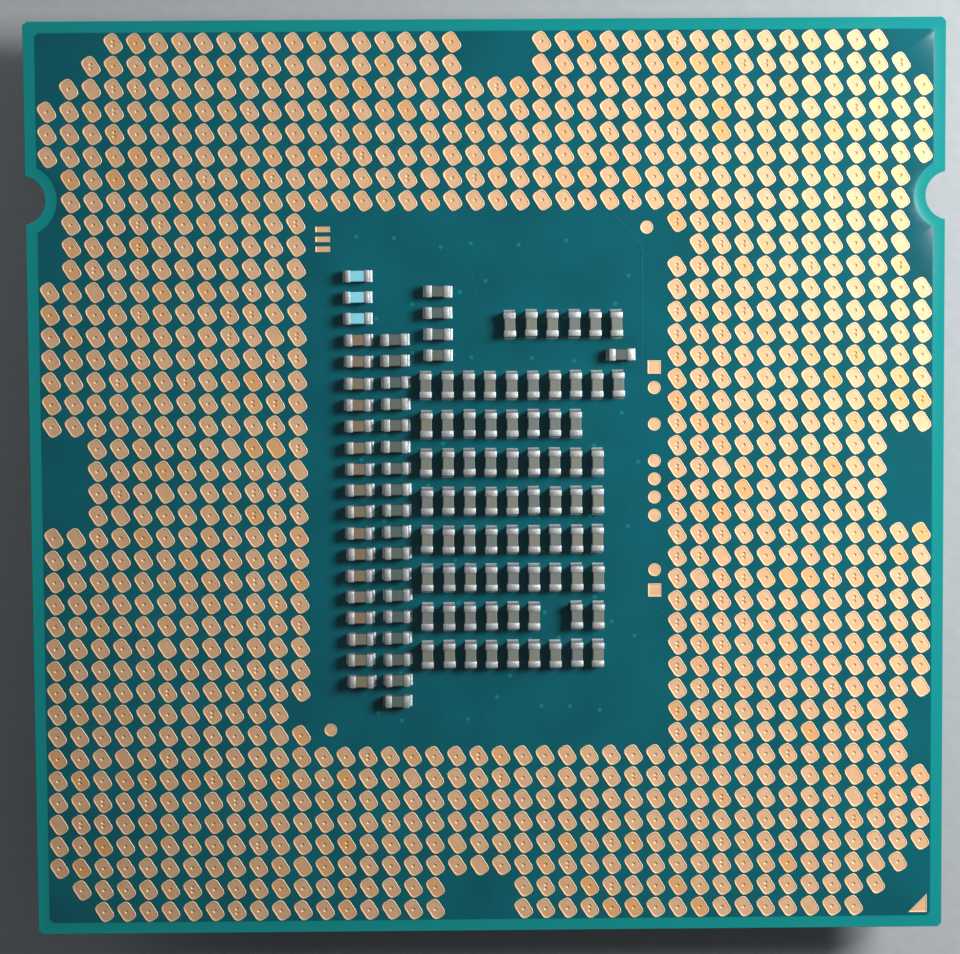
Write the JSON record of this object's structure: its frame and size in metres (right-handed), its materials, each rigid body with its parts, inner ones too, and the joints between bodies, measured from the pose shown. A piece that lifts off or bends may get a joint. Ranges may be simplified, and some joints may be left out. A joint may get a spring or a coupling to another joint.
{
  "type": "land grid processor package",
  "caption": "Square computer processor package with a plated metal lid on one face and a grid of gold contact lands with a field of capacitors on the other.",
  "frame": {"origin": "centre of the lid's flat contact face, on which the package lies", "axes": "+Z out of the land side, +Y towards the two keying notches, +X to the right when looking at the land side with the notches up"},
  "size_m": [0.0376, 0.0376, 0.0049],
  "materials": {
    "nickel_plate": "satin nickel plate over copper",
    "gold_plate": "matt gold over nickel",
    "solder_mask": "teal green solder mask, satin",
    "laminate": "cut edge of glass epoxy",
    "buildup_film": "resin film",
    "silicon": "polished silicon",
    "thermal_paste": "matt paste",
    "underfill_epoxy": "cured epoxy",
    "solder": "tin solder",
    "black_silicone": "matt silicone",
    "grey_ceramic": "grey green capacitor ceramic with tinned ends",
    "tan_ceramic": "tan capacitor ceramic with tinned ends",
    "blue_ceramic": "pale blue capacitor ceramic with tinned ends"
  },
  "bodies": {
    "root": {"heat_spreader": "nickel_plate", "lid_sealant": "black_silicone", "thermal_paste": "thermal_paste", "silicon_die": "silicon", "solder_bumps": "solder", "die_underfill": "underfill_epoxy", "die_side_mask": "solder_mask", "pin_one_mark_lid_side": "gold_plate", "die_side_buildup": "buildup_film", "core_laminate": "laminate", "land_side_buildup": "buildup_film", "contact_lands_upper_left": "gold_plate", "contact_lands_upper_right": "gold_plate", "contact_lands_lower_left": "gold_plate", "contact_lands_lower_right": "gold_plate", "land_side_mask": "solder_mask", "pin_one_mark_land_side": "gold_plate", "fiducial_upper": "gold_plate", "fiducial_lower": "gold_plate", "test_pad_round_1": "gold_plate", "test_pad_round_2": "gold_plate", "test_pad_round_3": "gold_plate", "test_pad_round_4": "gold_plate", "test_pad_round_5": "gold_plate", "test_pad_round_6": "gold_plate", "test_pad_round_7": "gold_plate", "test_pad_square_1": "gold_plate", "test_pad_square_2": "gold_plate", "index_bar_1": "gold_plate", "index_bar_2": "gold_plate", "index_bar_3": "gold_plate", "capacitors_column_1_blue": "blue_ceramic", "capacitors_column_1": "tan_ceramic", "capacitors_column_2": "grey_ceramic", "capacitors_column_3": "grey_ceramic", "capacitor_single": "grey_ceramic", "capacitors_row_1": "grey_ceramic", "capacitors_row_2": "grey_ceramic", "capacitors_row_3": "grey_ceramic", "capacitors_row_4": "grey_ceramic", "capacitors_row_5": "grey_ceramic", "capacitors_row_6": "grey_ceramic", "capacitors_row_7": "grey_ceramic", "capacitors_row_8_left": "grey_ceramic", "capacitors_row_8_right": "grey_ceramic", "capacitors_row_9": "grey_ceramic"}
  },
  "joints": []
}
